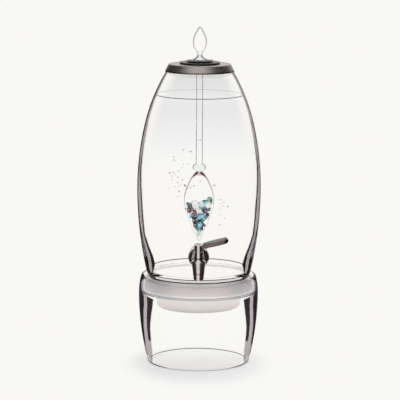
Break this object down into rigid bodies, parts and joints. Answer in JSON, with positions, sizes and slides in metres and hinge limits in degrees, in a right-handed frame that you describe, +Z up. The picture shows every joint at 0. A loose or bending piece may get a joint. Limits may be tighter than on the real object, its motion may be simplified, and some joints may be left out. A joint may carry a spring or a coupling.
{
  "type": "glass water dispenser",
  "caption": "Free-standing glass water dispenser: rounded vessel on a glass ring stand, steel lid, hanging vial of stones and a quarter-turn tap.",
  "frame": {"origin": "centre of the stand's foot ring, on the surface it stands on", "axes": "+Z up along the vessel's axis; the tap faces -Y and its lever points to +X at rest"},
  "size_m": [0.2048, 0.2372, 0.5585],
  "materials": {
    "clear_glass": "clear polished, thick",
    "vial_glass": "clear lamp-worked",
    "frosted_seat": "smooth satin, milky",
    "clear_silicone": "milky translucent",
    "polished_steel": "mirror polished",
    "brushed_steel": "fine circular brushing",
    "brass": "machined",
    "black_rubber": "smooth",
    "white_plastic": "smooth",
    "clear_plastic": "clear moulded",
    "black_plastic": "satin moulded",
    "gems_sky": "tumbled, polished",
    "gems_teal": "tumbled, polished",
    "gems_green": "tumbled, polished",
    "gems_navy": "tumbled, polished",
    "gems_brown": "tumbled, polished",
    "gems_aqua": "tumbled, polished",
    "gems_milky": "tumbled, cloudy"
  },
  "bodies": {
    "stand": {"stand_ring": "clear_glass"},
    "seat": {"seat_bowl": "frosted_seat"},
    "vessel": {"glass_vessel": "clear_glass", "outer_washer": "clear_silicone", "inner_washer": "clear_silicone", "clamp_washer": "polished_steel", "lock_nut": "polished_steel", "tap_flange": "polished_steel", "tap_body": "polished_steel", "gland_nut": "brass"},
    "handle": {"valve_plug": "brass", "plug_o_rings": "black_rubber", "thrust_washer": "white_plastic", "lever_handle": "polished_steel", "lever_screw": "polished_steel"},
    "lid": {"lid_shell": "brushed_steel", "lid_collar": "clear_plastic", "lid_gasket": "clear_silicone", "hole_sleeve": "black_plastic"},
    "vial": {"stopper": "black_plastic", "stopper_o_ring": "black_rubber", "gem_vial": "vial_glass", "gems_sky": "gems_sky", "gems_teal": "gems_teal", "gems_green": "gems_green", "gems_navy": "gems_navy", "gems_brown": "gems_brown", "gems_aqua": "gems_aqua", "gems_milky": "gems_milky"}
  },
  "joints": [
    {"name": "seat_lift", "type": "slide", "parent": "stand", "child": "seat", "axis": [0, 0, 1], "range_m": [0, 0.06]},
    {"name": "vessel_lift", "type": "slide", "parent": "seat", "child": "vessel", "axis": [0, 0, 1], "range_m": [0, 0.05]},
    {"name": "lid_lift", "type": "slide", "parent": "vessel", "child": "lid", "axis": [0, 0, 1], "range_m": [0, 0.3]},
    {"name": "vial_lift", "type": "slide", "parent": "lid", "child": "vial", "axis": [0, 0, 1], "range_m": [0, 0.32]},
    {"name": "lever_turn", "type": "hinge", "parent": "vessel", "child": "handle", "pos_m": [0, -0.1204, 0.1893], "axis": [0, -0.1578, 0.9875], "range_deg": [-90, 0]}
  ]
}
